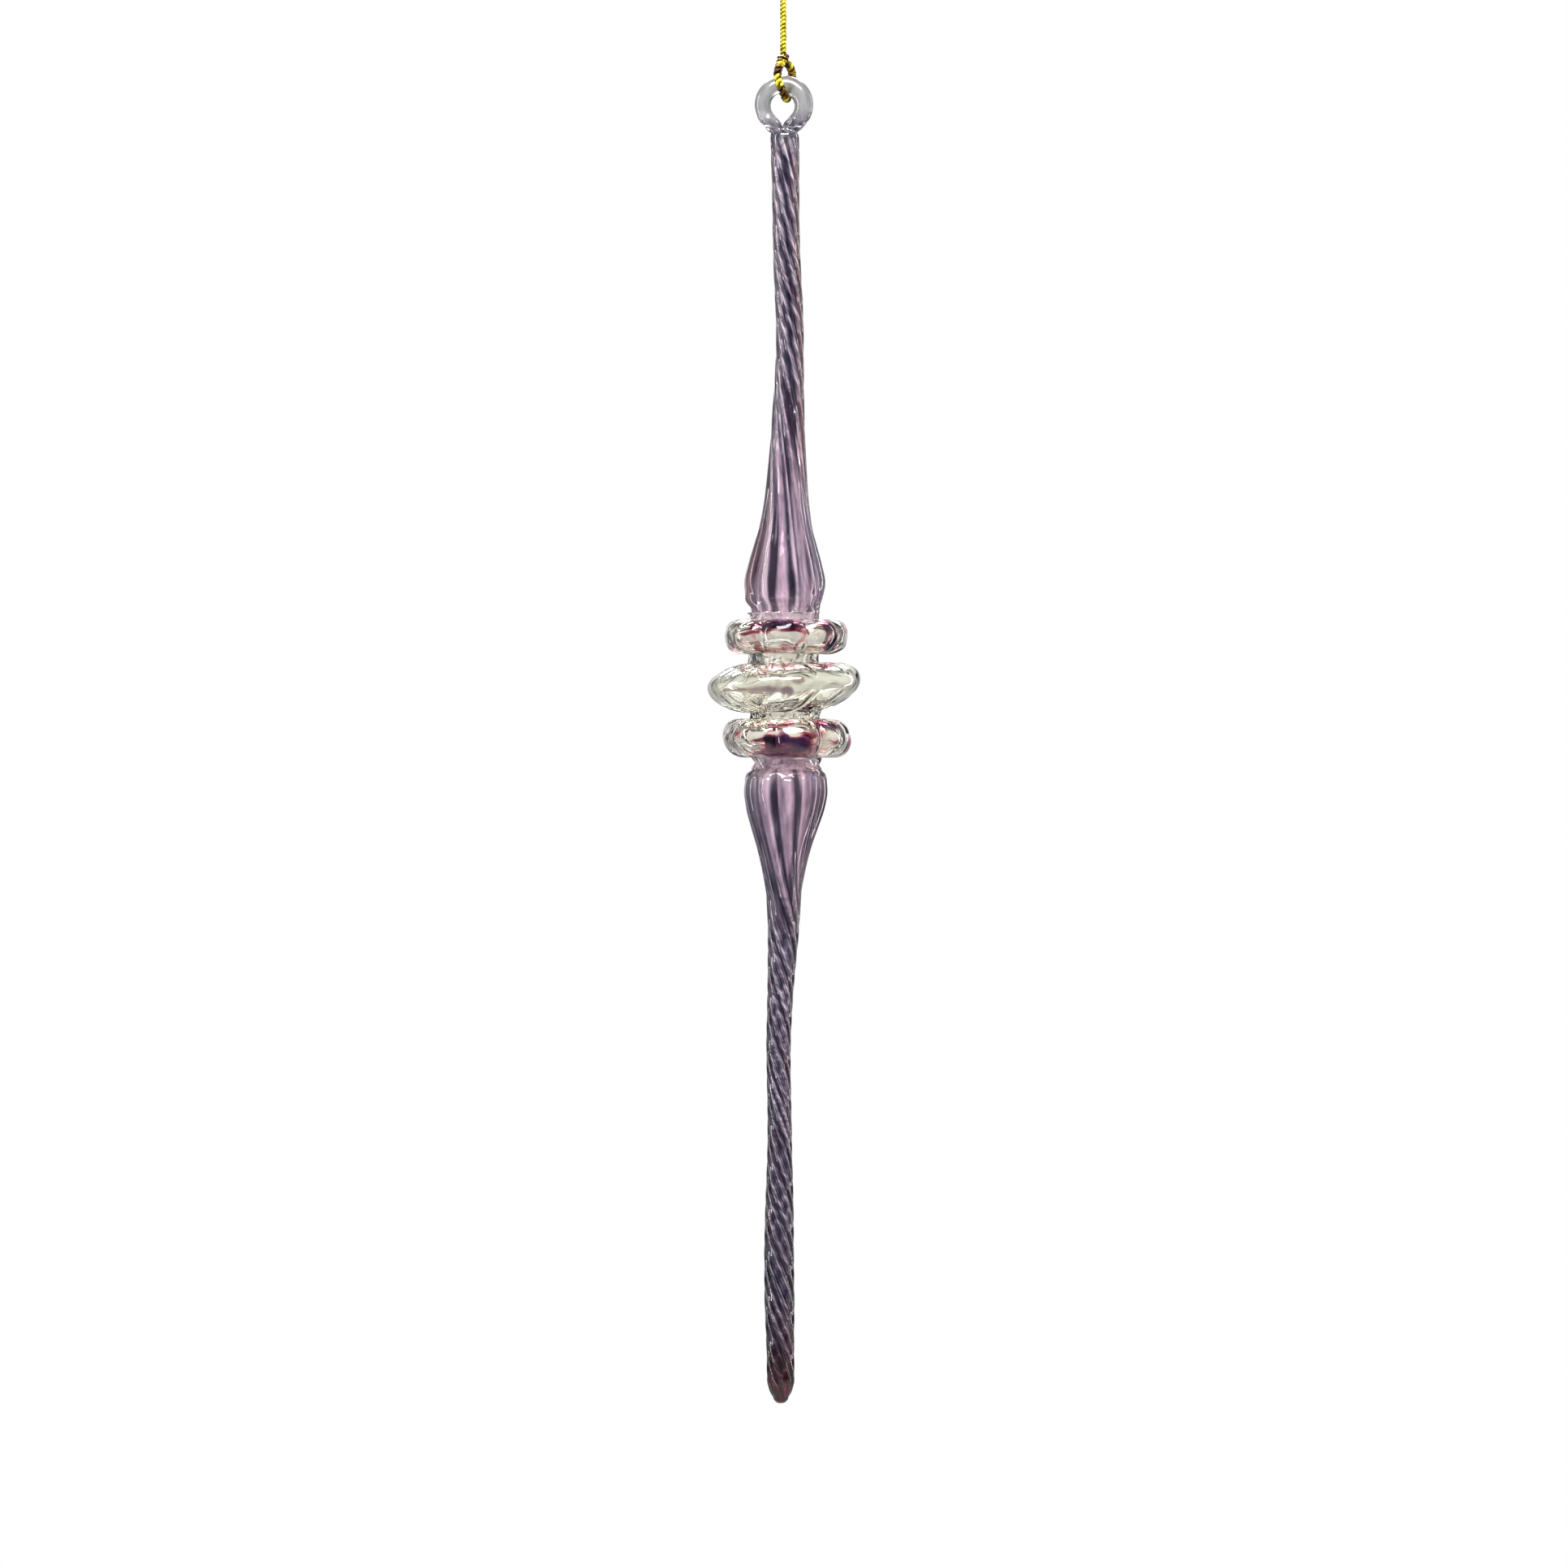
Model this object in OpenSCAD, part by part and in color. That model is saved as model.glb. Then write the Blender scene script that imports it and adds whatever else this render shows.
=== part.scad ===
// Twisted glass icicle drop, hung by its glass eye from a braided gold cord.
// The origin is the inner top of the cord's hanging loop, where a hook or a bough holds it.

/* [Cord] */
// Diameter of the braided cord
cord_d = 1.0; // [0.8:0.05:1.05]
// Turn of the tied eye away from the depth direction, in degrees
eye_turn = 15; // [0:1:20]

/* [Glass eye] */
// Radius of the eye's centreline
eye_r = 2.95; // [2.9:0.05:3.2]
// Diameter of the rod that the eye is bent from
eye_rod_d = 2.7; // [2.4:0.1:2.7]

/* [Spindles] */
// Ribs round each spindle
ribs = 10; // [8:1:12]
// Depth of the grooves between ribs, as a share of the radius
groove = 0.13; // [0.05:0.01:0.2]
// Twist of the upper stem, in degrees for each millimetre
upper_twist = 8.2; // [4:0.1:10]
// Twist of the lower stem, in degrees for each millimetre
lower_twist = 12.5; // [6:0.1:14]

/* [Rings] */
// Radius of the upper ring's rim
upper_ring_r = 9.3; // [8.5:0.1:9.8]
// Radius of the centre ring's rim
centre_ring_r = 11; // [10:0.1:12]
// Radius of the lower ring's rim
lower_ring_r = 9.6; // [8.5:0.1:9.8]
// Lobes round the upper and lower rings
lobes = 6; // [5:1:7]

/* [Hidden] */

cord_r = cord_d / 2;
cord_sides = 8;

// Heights, all from the origin downwards
glass_top = -58;           // top of the glass eye
loop_knot_z = -41;
tie_knot_z = -56.1;
knot_r = 1.15;             // the tied knot stays within this radius of its centre
eye_pivot_z = glass_top - eye_rod_d / 2;
eye_centre_z = eye_pivot_z - eye_r;

// Depths below glass_top at which one worked section of glass meets the next
weld_from = 7.5;
upper_spindle_from = 9;
upper_neck_from = 76.9;
upper_ring_from = 77.9;
upper_clear_from = 82.8;
centre_ring_from = 84.1;
lower_clear_from = 91.2;
lower_ring_from = 92.1;
lower_neck_from = 97.6;
lower_spindle_from = 99.3;
tip_from = 186.3;
glass_end = 190;

neck_r = 4.8;              // outside of the necks between the rings
bore_r = 3.2;              // air inside the necks and rings
stem_r = 1.9;
weld_r = 2.45;
stem_top_r = 2.05;

// Route of the cord, as [x, z]: the strand above the knot on the glass eye
strand_route = [[0, -54.9], [0, -52], [0, -48], [0, -45], [0, -41.8]];
// and the hanging loop, from the loop knot round to it again
loop_route = [
    [0.55, -40.2], [1.0, -36], [1.6, -30], [2.3, -23], [3.1, -16], [3.9, -10], [4.4, -6.5],
    [4.5, -4], [3.9, -1.75], [2.25, -0.1], [0, 0.5], [-2.25, -0.1], [-3.9, -1.75], [-4.5, -4],
    [-4.4, -6.5], [-3.9, -10], [-3.1, -16], [-2.3, -23], [-1.6, -30], [-1.0, -36], [-0.55, -40.2]
];
// Route of the tied eye in its own plane, as [forward, height over the rod's centre]:
// down the front of the glass eye, under its rod and up the back
tied_route = [
    [0.6, 2.15], [1.3, 1.55], [1.85, 0.8], [2.05, 0], [1.85, -0.85], [1.4, -1.5], [0.75, -1.9],
    [0, -2.05], [-0.75, -1.9], [-1.4, -1.5], [-1.85, -0.85], [-2.05, 0], [-1.85, 0.8],
    [-1.3, 1.55], [-0.6, 2.15]
];

// Outlines as [depth below the section's top, outer radius]
upper_outline = [
    [0, stem_top_r], [8, 1.95], [22, 2.0], [32, 2.0], [44, 2.45], [53, 3.35],
    [58.5, 4.6], [64, 5.85], [66.8, 5.4], [67.9, neck_r]
];
lower_outline = [
    [0, neck_r], [0.9, 5.8], [2.9, 6.1], [5.7, 5.65], [8.4, 4.8], [12.6, 3.5], [16.8, 2.7],
    [22.3, 2.25], [29.3, 1.95], [40.4, 1.75], [50, 1.75], [62.6, 2.0], [75.6, 2.15], [87, stem_r]
];
// Air inside each spindle, as [depth below the section's top, radius]
upper_air = [[34, 0.45], [44, 0.95], [53, 1.9], [58.5, 3.1], [64, 4.3], [67.9, bore_r]];
lower_air = [[0, bore_r], [2.9, 4.4], [8.4, 3.3], [12.6, 2.1], [18, 1.1], [28, 0.45]];
// Sideways lean of the hand-drawn glass, as [depth below glass_top, offset in x]
lean = [
    [0, 0], [10, 0.05], [38, 0.8], [60, 0.35], [76, 0.05], [88, 0], [96, 0.3], [115, 0],
    [141, -0.8], [178, -0.55], [190, -0.4]
];

// Smooth curve through [position, value] pairs
function span_at(p, t, i = 0) = i >= len(p) - 2 || t < p[i + 1][0] ? i : span_at(p, t, i + 1);
function slope_at(p, i) =
    let (a = max(i - 1, 0), b = min(i + 1, len(p) - 1)) (p[b][1] - p[a][1]) / (p[b][0] - p[a][0]);
function smooth(p, t) =
    let (
        i = span_at(p, t),
        w = p[i + 1][0] - p[i][0],
        u = min(max((t - p[i][0]) / w, 0), 1),
        v = 1 - u
    )
    v * v * (1 + 2 * u) * p[i][1] + u * u * (3 - 2 * u) * p[i + 1][1]
        + u * v * v * w * slope_at(p, i) - u * u * v * w * slope_at(p, i + 1);

// Ribs: 0 on a crest and 1 in a groove
function groove_at(a, count) = 1 - abs(sin(count * a / 2));

// One ring of a spindle's outside, at depth d below the section's top
points_round = 3 * ribs;
function ribbed(from, d, r, turn) = [
    for (k = [0:points_round - 1])
        let (a = 360 * k / points_round, q = r * (1 - groove * groove_at(a, ribs)))
        [
            smooth(lean, from + d) + q * cos(a + turn),
            q * sin(a + turn),
            glass_top - from - d
        ]
];
function plain(from, d, r) = [
    for (k = [0:points_round - 1])
        let (a = 360 * k / points_round)
        [smooth(lean, from + d) + r * cos(a), r * sin(a), glass_top - from - d]
];
// Turn of the ribs at each of the depths: thin glass twists far more than thick
function turns(outline, depths, rate, i = 0, sum = 0) =
    i >= len(depths) ? [] :
    let (
        r = smooth(outline, depths[i]),
        step = i == 0 ? 0 : depths[i] - depths[i - 1],
        now = sum + step * rate * min(1, pow(stem_r * 1.1 / r, 3))
    )
    concat([now], turns(outline, depths, rate, i + 1, now));
// Evenly spaced values from a to b
function spread(a, b, count) = [for (i = [0:count]) a + (b - a) * i / count];

// Closed solid through rings of points, with flat ends, or joined end to end
module ringed(rings, joined = false) {
    n = len(rings[0]);
    m = len(rings);
    sides = [
        for (i = [0:m - (joined ? 1 : 2)], j = [0:n - 1])
            let (a = i * n, b = (i + 1) % m * n, k = (j + 1) % n)
            each [[a + j, b + k, a + k], [a + j, b + j, b + k]]
    ];
    ends = joined ? [] : [[for (j = [n - 1:-1:0]) n - 1 - j], [for (j = [n - 1:-1:0]) (m - 1) * n + j]];
    polyhedron([for (r = rings) each r], concat(sides, ends), convexity = 10);
}

// Round cord along a flat route of [across, z], in the XZ plane
function eased(p, i, u) =
    let (
        n = len(p) - 1,
        a = p[max(i - 1, 0)], b = p[i], c = p[i + 1], d = p[min(i + 2, n)]
    )
    0.5 * (2 * b + (c - a) * u + (2 * a - 5 * b + 4 * c - d) * u * u + (3 * b - a - 3 * c + d) * pow(u, 3));
function fine(route, cuts) = [
    for (i = [0:len(route) - 2], k = [0:cuts - 1]) eased(route, i, k / cuts), route[len(route) - 1]
];
module cord_along(route, cuts) {
    path = fine(route, cuts);
    last = len(path) - 1;
    ringed([
        for (i = [0:last])
            let (
                way = path[min(i + 1, last)] - path[max(i - 1, 0)],
                across = [way[1], -way[0]] / norm(way)
            )
            [
                for (k = [0:cord_sides - 1])
                    let (a = 360 * k / cord_sides)
                    [
                        path[i][0] + cord_r * cos(a) * across[0],
                        -cord_r * sin(a),
                        path[i][1] + cord_r * cos(a) * across[1]
                    ]
            ]
    ]);
}

// Short turns of cord wound round an upright core
module wraps(core_r, count, pitch) {
    for (i = [0:count - 1])
        translate([0, 0, (i - (count - 1) / 2) * pitch])
            rotate_extrude($fn = 48) translate([core_r, 0]) circle(r = cord_r, $fn = 24);
}

module hang_loop() color("gold") cord_along(loop_route, 2);

module hang_cord() color("gold") cord_along(strand_route, 1);

module loop_knot()
    color("goldenrod") translate([0, 0, loop_knot_z]) {
        cylinder(r = 1.1, h = 2.2, center = true, $fn = 48);
        wraps(0.95, 3, 0.75);
    }

module tie_knot()
    color("goldenrod") translate([0, 0, tie_knot_z])
        intersection() {
            sphere(r = knot_r, $fn = 48);
            union() {
                cylinder(r = 0.9, h = 2 * knot_r, center = true, $fn = 48);
                wraps(0.7, 2, 0.8);
            }
        }

module cord_eye()
    color("gold") translate([0, 0, eye_pivot_z]) rotate([0, 0, -90 - eye_turn])
        cord_along(tied_route, 2);

// Clear rod bent into a teardrop, with its two thinned legs cut flat where the weld takes them
module glass_eye() {
    apex = 4.3;                                  // from the eye's centre down to where its legs would meet
    flare = asin(eye_r / apex);                  // each leg's angle to the upright
    leg = sqrt(apex * apex - eye_r * eye_r);
    leg_end_r = 0.95;
    color("whitesmoke", 0.5)
    difference() {
        translate([0, 0, eye_centre_z]) rotate([90, 0, 0])
            union() {
                rotate([0, 0, -flare])
                    rotate_extrude(angle = 180 + 2 * flare, $fn = 96)
                        translate([eye_r, 0]) circle(d = eye_rod_d, $fn = 48);
                for (side = [0, 1])
                    mirror([side, 0, 0]) rotate([0, 0, -flare]) translate([eye_r, 0, 0])
                        rotate([90, 0, 0]) cylinder(r1 = eye_rod_d / 2, r2 = leg_end_r, h = leg, $fn = 48);
            }
        translate([-10, -10, glass_top - weld_from - 10]) cube([20, 20, 10]);
    }
}

// Tube turned about the Z axis, from a list of [depth below its top, outer radius]
module turned(from, outline, air_r) {
    inside = air_r > 0 ? [[air_r, outline[len(outline) - 1][0]], [air_r, outline[0][0]]]
        : [[0, outline[len(outline) - 1][0]], [0, outline[0][0]]];
    middle = from + outline[len(outline) - 1][0] / 2;
    translate([smooth(lean, middle), 0, glass_top - from]) mirror([0, 0, 1])
        rotate_extrude($fn = 72) polygon(concat([for (p = outline) [p[1], p[0]]], inside));
}

// Neck drawn in a little at its middle
module neck(from, to, waist) {
    long = to - from;
    turned(from, [for (s = spread(0, 1, 8)) [s * long, neck_r - waist * sin(180 * s)]], bore_r);
}

module eye_weld()
    color("thistle", 0.6)
    turned(weld_from, [
        for (s = spread(0, 1, 6))
            [s * (upper_spindle_from - weld_from), weld_r + (stem_top_r - weld_r) * sin(90 * s)]
    ], 0);

module upper_spindle() {
    long = upper_neck_from - upper_spindle_from;
    depths = concat(spread(0, 30, 16), spread(32, long, 20));
    turn = turns(upper_outline, depths, upper_twist);
    outside = [for (i = [0:len(depths) - 1]) ribbed(upper_spindle_from, depths[i],
        smooth(upper_outline, depths[i]), turn[i])];
    inside = [for (d = spread(long, 34, 11)) plain(upper_spindle_from, d, smooth(upper_air, d))];
    color("mediumorchid", 0.6) ringed(concat(outside, inside));
}

module lower_spindle() {
    long = tip_from - lower_spindle_from;
    depths = concat(spread(0, 16, 12), spread(17.5, long, 44));
    turn = turns(lower_outline, depths, lower_twist);
    outside = [for (i = [0:len(depths) - 1]) ribbed(lower_spindle_from, depths[i],
        smooth(lower_outline, depths[i]), turn[i])];
    inside = [for (d = spread(28, 0, 12)) plain(lower_spindle_from, d, smooth(lower_air, d))];
    color("mediumorchid", 0.6) ringed(concat(inside, outside));
}

module sealed_tip() {
    long = glass_end - tip_from;
    color("rosybrown", 0.8)
    turned(tip_from, [for (s = spread(0, 1, 14)) [s * long, stem_r * pow(1 - s * s, 0.75)]], 0);
}

// Ring of glass pressed out of the tube, with its rim's radius and its lift at each angle.
// A blunt below 1 squares the rim off, and above 1 tapers it.
ring_points = 6 * lobes;
function pressed(from, to, rims, lifts, blunt) =
    let (half = (to - from) / 2, middle = glass_top - (from + to) / 2, off = smooth(lean, (from + to) / 2))
    concat(
        [
            for (s = spread(90, -90, 12))
                [
                    for (k = [0:ring_points - 1])
                        let (a = 360 * k / ring_points, q = neck_r + (rims[k] - neck_r) * pow(cos(s), blunt))
                        [off + q * cos(a), q * sin(a), middle + half * sin(s) + lifts[k] * cos(s)]
                ]
        ],
        [
            for (side = [-1, 1])
                [
                    for (k = [0:ring_points - 1])
                        let (a = 360 * k / ring_points)
                        [off + bore_r * cos(a), bore_r * sin(a), middle + half * side]
                ]
        ]
    );
ring_angles = [for (k = [0:ring_points - 1]) 360 * k / ring_points];

module lobed_ring(from, to, r, dent, phase) {
    rims = [for (a = ring_angles) r - dent * groove_at(a - phase, lobes)];
    lifts = [for (a = ring_angles) 0.2 * sin(2 * a + phase)];
    ringed(pressed(from, to, rims, lifts, 0.6), joined = true);
}

module upper_ring() color("plum", 0.6) lobed_ring(upper_ring_from, upper_clear_from, upper_ring_r, 1.1, 50);

module lower_ring() color("plum", 0.6) lobed_ring(lower_ring_from, lower_neck_from, lower_ring_r, 0.8, 5);

module centre_ring() {
    rims = [for (a = ring_angles) centre_ring_r - 0.35 * (1 - cos(2 * a))];
    lifts = [for (a = ring_angles) 0.45 * cos(a) + 0.3 * sin(3 * a)];
    color("ivory", 0.6)
    ringed(pressed(centre_ring_from, lower_clear_from, rims, lifts, 1.1), joined = true);
}

module upper_neck() color("plum", 0.6) neck(upper_neck_from, upper_ring_from, 0.15);

module upper_clear_neck() color("ivory", 0.6) neck(upper_clear_from, centre_ring_from, 0.15);

module lower_clear_neck() color("ivory", 0.6) neck(lower_clear_from, lower_ring_from, 0.1);

module lower_neck() color("plum", 0.6) neck(lower_neck_from, lower_spindle_from, 0.1);

hang_loop();
loop_knot();
hang_cord();
tie_knot();
cord_eye();
glass_eye();
eye_weld();
upper_spindle();
upper_neck();
upper_ring();
upper_clear_neck();
centre_ring();
lower_clear_neck();
lower_ring();
lower_neck();
lower_spindle();
sealed_tip();
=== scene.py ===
import math
import bmesh
import bpy
import numpy as np
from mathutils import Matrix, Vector


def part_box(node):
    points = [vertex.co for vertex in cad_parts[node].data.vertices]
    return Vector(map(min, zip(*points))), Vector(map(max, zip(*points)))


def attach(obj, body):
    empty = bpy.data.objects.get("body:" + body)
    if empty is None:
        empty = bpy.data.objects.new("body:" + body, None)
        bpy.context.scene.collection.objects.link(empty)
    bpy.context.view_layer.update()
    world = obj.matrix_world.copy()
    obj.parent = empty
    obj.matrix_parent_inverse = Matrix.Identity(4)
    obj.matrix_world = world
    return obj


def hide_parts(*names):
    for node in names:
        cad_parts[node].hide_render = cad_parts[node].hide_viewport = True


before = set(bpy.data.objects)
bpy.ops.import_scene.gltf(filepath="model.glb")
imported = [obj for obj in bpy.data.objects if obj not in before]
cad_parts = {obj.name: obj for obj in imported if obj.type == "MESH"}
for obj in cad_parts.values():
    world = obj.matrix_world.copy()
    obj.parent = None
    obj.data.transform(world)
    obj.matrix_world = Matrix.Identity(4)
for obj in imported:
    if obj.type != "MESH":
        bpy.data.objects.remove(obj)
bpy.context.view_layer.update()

# Lengths are in millimetres, in the CAD model's frame, and become metres as a piece is made.
MM = 0.001
GLASS_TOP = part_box("glass_eye")[1][2] / MM
GLASS_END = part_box("sealed_tip")[0][2] / MM
ROUND = 200                      # points round each piece of glass
RIBS = 10
NECK_R = 4.95                    # outside of the necks between the rings
BORE_R = 4.15                    # air inside the necks and rings
# Depth below the glass eye's top at which each section of the glass starts
STARTS = {
    "glass_eye": 0, "eye_weld": 7.5, "upper_spindle": 9, "upper_neck": 76.9, "upper_ring": 77.9,
    "upper_clear_neck": 82.8, "centre_ring": 84.1, "lower_clear_neck": 91.2, "lower_ring": 92.1,
    "lower_neck": 97.6, "lower_spindle": 99.3, "sealed_tip": 186.3,
}
AIR_TOP, AIR_END = 43, 123       # depths between which the glass is hollow
TIP_LONG = 3.7
FOLDS = 21                       # seed of the folds round the rings and necks, one for all so that they meet


# ---------------------------------------------------------------- helpers
def smooth(pairs, at):
    """Smooth curve through (position, value) pairs that never overshoots them, with flat ends."""
    xs, ys = np.array(pairs, float).T
    steps = np.diff(ys) / np.diff(xs)
    before, after = steps[:-1], steps[1:]
    same_way = before * after > 0
    slopes = np.zeros_like(ys)
    slopes[1:-1][same_way] = (2 * before * after / np.where(same_way, before + after, 1))[same_way]
    at = np.clip(np.asarray(at, float), xs[0], xs[-1])
    i = np.clip(np.searchsorted(xs, at, side="right") - 1, 0, len(xs) - 2)
    wide = xs[i + 1] - xs[i]
    u = (at - xs[i]) / wide
    v = 1 - u
    return (
        v * v * (1 + 2 * u) * ys[i]
        + u * u * (3 - 2 * u) * ys[i + 1]
        + u * v * v * wide * slopes[i]
        - u * u * v * wide * slopes[i + 1]
    )


def through(points, gap):
    """Points about gap apart on one smooth curve through the given ones."""
    p = np.array(points, float)
    p = np.vstack([2 * p[0] - p[1], p, 2 * p[-1] - p[-2]])
    out = []
    for a, b, c, d in zip(p[:-3], p[1:-2], p[2:-1], p[3:]):
        cuts = max(2, int(np.linalg.norm(c - b) / gap))
        u = (np.arange(cuts) / cuts)[:, None]
        out.append(
            0.5 * (2 * b + (c - a) * u + (2 * a - 5 * b + 4 * c - d) * u**2 + (3 * b - a - 3 * c + d) * u**3)
        )
    out.append(p[-2][None])
    return np.vstack(out)


def even(line, gap):
    """The same line, cut at even steps of about gap."""
    far = np.concatenate([[0], np.cumsum(np.linalg.norm(np.diff(line, axis=0), axis=1))])
    at = np.linspace(0, far[-1], max(2, round(far[-1] / gap)) + 1)
    return np.stack([np.interp(at, far, line[:, k]) for k in range(3)], axis=1)


def frames(line):
    """Tangent and two normals at each point, turning as little as they can along the line."""
    t = np.gradient(line, axis=0)
    t /= np.linalg.norm(t, axis=1)[:, None]
    n = np.cross(t[0], [0.3, 1.0, 0.2])
    n /= np.linalg.norm(n)
    normals = [n]
    for way in t[1:]:
        n = n - way * n.dot(way)
        n = n / np.linalg.norm(n)
        normals.append(n)
    normals = np.array(normals)
    return t, normals, np.cross(t, normals)


def mesh_object(name, points, faces, materials, which=None):
    """Smooth mesh piece from points in millimetres. which gives each face's material."""
    mesh = bpy.data.meshes.new(name)
    mesh.from_pydata((np.asarray(points) * MM).tolist(), [], faces)
    mesh.validate()
    for m in materials:
        mesh.materials.append(m)
    if which is not None:
        mesh.polygons.foreach_set("material_index", np.asarray(which, np.int32))
    mesh.polygons.foreach_set("use_smooth", [True] * len(mesh.polygons))
    mesh.update()
    obj = bpy.data.objects.new(name, mesh)
    bpy.context.scene.collection.objects.link(obj)
    return obj


def tube_faces(rows, n, wrap=False):
    """Quads between rows of n points each, one row after another."""
    i = np.arange(rows - (0 if wrap else 1))[:, None]
    j = np.arange(n)[None]
    a, b, k = i * n, (i + 1) % rows * n, (j + 1) % n
    return np.stack([a + j, b + j, b + k, a + k], axis=-1).reshape(-1, 4)


# ---------------------------------------------------------------- cord
CORD_R = 0.5
STRANDS = 2
STRAND_PITCH = 1.15
STRAND_SIDES = 14
ROPE_STEP = 0.08                 # along the cord, from one ring of points to the next
GLINT_REACH = 0.32              # along the cord, of a painted glint
# The cord's route, as [x, z]: up from the tied knot, through the loop's knot and round the hanging loop
CORD_ROUTE = [
    (0, -54.9), (0, -52), (0, -48), (0, -45), (0, -41.8),
    (0.55, -40.2), (1.0, -36), (1.6, -30), (2.3, -23), (3.1, -16), (3.9, -10), (4.4, -6.5),
    (4.5, -4), (3.9, -1.75), (2.25, -0.1), (0, 0.5), (-2.25, -0.1), (-3.9, -1.75), (-4.5, -4),
    (-4.4, -6.5), (-3.9, -10), (-3.1, -16), (-2.3, -23), (-1.6, -30), (-1.0, -36), (-0.55, -40.2),
]


def nodes_of(material):
    material.use_nodes = True
    tree = material.node_tree
    return tree, tree.nodes["Principled BSDF"]


def add(tree, kind, **values):
    """New node, with settings by attribute name and inputs by socket name."""
    node = tree.nodes.new(kind)
    for key, value in values.items():
        if hasattr(node, key):
            setattr(node, key, value)
        else:
            node.inputs[key.replace("_", " ")].default_value = value
    return node


def ramp(tree, source, stops):
    """Colour ramp with (position, colour) stops, fed by source."""
    node = tree.nodes.new("ShaderNodeValToRGB")
    marks = node.color_ramp.elements
    while len(marks) < len(stops):
        marks.new(0.5)
    for mark, (at, colour) in zip(marks, stops):
        mark.position = at
        mark.color = (*colour, 1)
    tree.links.new(source, node.inputs["Fac"])
    return node


def yarn_material(name, stops, blotches):
    """Metallic yarn: painted light on the strands, painted shade where they turn in, and worn blotches."""
    material = bpy.data.materials.new(name)
    tree, shader = nodes_of(material)
    shader.inputs["Metallic"].default_value = 0.75
    place = tree.nodes.new("ShaderNodeTexCoord")
    blotch = add(tree, "ShaderNodeTexNoise", Scale=blotches, Detail=3.0)
    tree.links.new(place.outputs["Object"], blotch.inputs["Vector"])
    # Painted shade where each strand turns in, painted light where it stands out, and painted glints
    painted_shade_and_glint = add(tree, "ShaderNodeAttribute", attribute_name="pigment_and_painted_light")
    both = add(tree, "ShaderNodeMath", operation="MULTIPLY_ADD")
    both.inputs[1].default_value = 0.55
    both.inputs[2].default_value = -0.2
    tree.links.new(painted_shade_and_glint.outputs["Fac"], both.inputs[0])
    shade = add(tree, "ShaderNodeMath", operation="MULTIPLY_ADD")
    shade.inputs[1].default_value = 0.9
    tree.links.new(blotch.outputs["Fac"], shade.inputs[0])
    tree.links.new(both.outputs["Value"], shade.inputs[2])
    colour = ramp(tree, shade.outputs["Value"], stops)
    tree.links.new(colour.outputs["Color"], shader.inputs["Base Color"])
    rough = ramp(tree, blotch.outputs["Fac"], [(0.3, (0.45,) * 3), (0.7, (0.2,) * 3)])
    tree.links.new(rough.outputs["Color"], shader.inputs["Roughness"])
    return material


def rope(name, line, radius, material, pitch=STRAND_PITCH, bright=()):
    """Yarn along a line: twisted strands, each a flattened bundle of a few foil filaments. Painted glints
    lighten the bright places, given as parts of the length."""
    line = even(line, ROPE_STEP)
    t, n, b = frames(line)
    far = np.arange(len(line)) * np.linalg.norm(line[1] - line[0])
    strand_r = radius / 2
    a = np.arange(STRAND_SIDES) * 2 * math.pi / STRAND_SIDES
    # Painted glints at the bright places along the cord
    shine = 0 * far
    for at in bright:
        shine = shine + np.exp(-(((far - at * far[-1]) / GLINT_REACH) ** 2))
    points, faces, painted_shade_and_glint = [], [], []
    for s in range(STRANDS):
        turn = 2 * math.pi * (far / pitch + s / STRANDS)
        out = n * np.cos(turn)[:, None] + b * np.sin(turn)[:, None]
        middle = line + out * (radius - strand_r)
        along = np.gradient(middle, axis=0)
        along /= np.linalg.norm(along, axis=1)[:, None]
        side = np.cross(along, out)
        side /= np.linalg.norm(side, axis=1)[:, None]
        fibre = 1 - 0.12 * (0.5 + 0.5 * np.cos(4 * a[None] + 3 * turn[:, None]))
        r = strand_r * fibre
        ring = (
            middle[:, None]
            + out[:, None] * (r * np.cos(a))[..., None]
            + side[:, None] * (1.12 * r * np.sin(a))[..., None]
        )
        base = s * len(line) * STRAND_SIDES
        last = base + (len(line) - 1) * STRAND_SIDES
        faces += (tube_faces(len(line), STRAND_SIDES) + base)[:, ::-1].tolist()
        faces.append([base + k for k in range(STRAND_SIDES)])
        faces.append([last + k for k in reversed(range(STRAND_SIDES))])
        points.append(ring.reshape(-1, 3))
        # Painted shade where the strand turns in, painted light where it faces out, painted glints at the
        # bright places
        painted_shade_and_glint.append((0.5 + 0.5 * np.cos(a)[None] + 0.55 * shine[:, None]).ravel())
    obj = mesh_object(name, np.vstack(points), faces, [material])
    obj.data.attributes.new("pigment_and_painted_light", "FLOAT", "POINT").data.foreach_set(
        "value", np.concatenate(painted_shade_and_glint).astype(np.float32))
    return obj


gold = yarn_material("gold_yarn", [
    (0.46, (0.03, 0.018, 0.001)), (0.60, (0.28, 0.20, 0.006)), (0.72, (0.66, 0.56, 0.03)),
    (0.90, (0.95, 0.88, 0.22)),
], 900.0)
gold_dark = yarn_material("gold_knot_yarn", [
    (0.52, (0.008, 0.003, 0.001)), (0.70, (0.06, 0.026, 0.002)), (0.84, (0.22, 0.11, 0.008)),
    (0.98, (0.95, 0.84, 0.05)),
], 620.0)
cord_line = through([(x, 0, z) for x, z in CORD_ROUTE], 0.5)
cord = rope("gold_cord", cord_line, CORD_R, gold)
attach(cord, "cord")
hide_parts("hang_cord", "hang_loop")


def coil(turns, radius, low, high, lean=0.0, start=0.0, shift=0.0):
    """Points on a few turns round the Z axis, from low to high, tilted by lean and drifting by shift."""
    at = np.linspace(0, 1, int(turns * 24) + 1)
    a = 2 * math.pi * turns * at + start
    return np.stack([
        radius * np.cos(a) + shift * (1 - at), radius * np.sin(a), low + (high - low) * at + lean * np.cos(a),
    ], axis=1)


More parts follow.
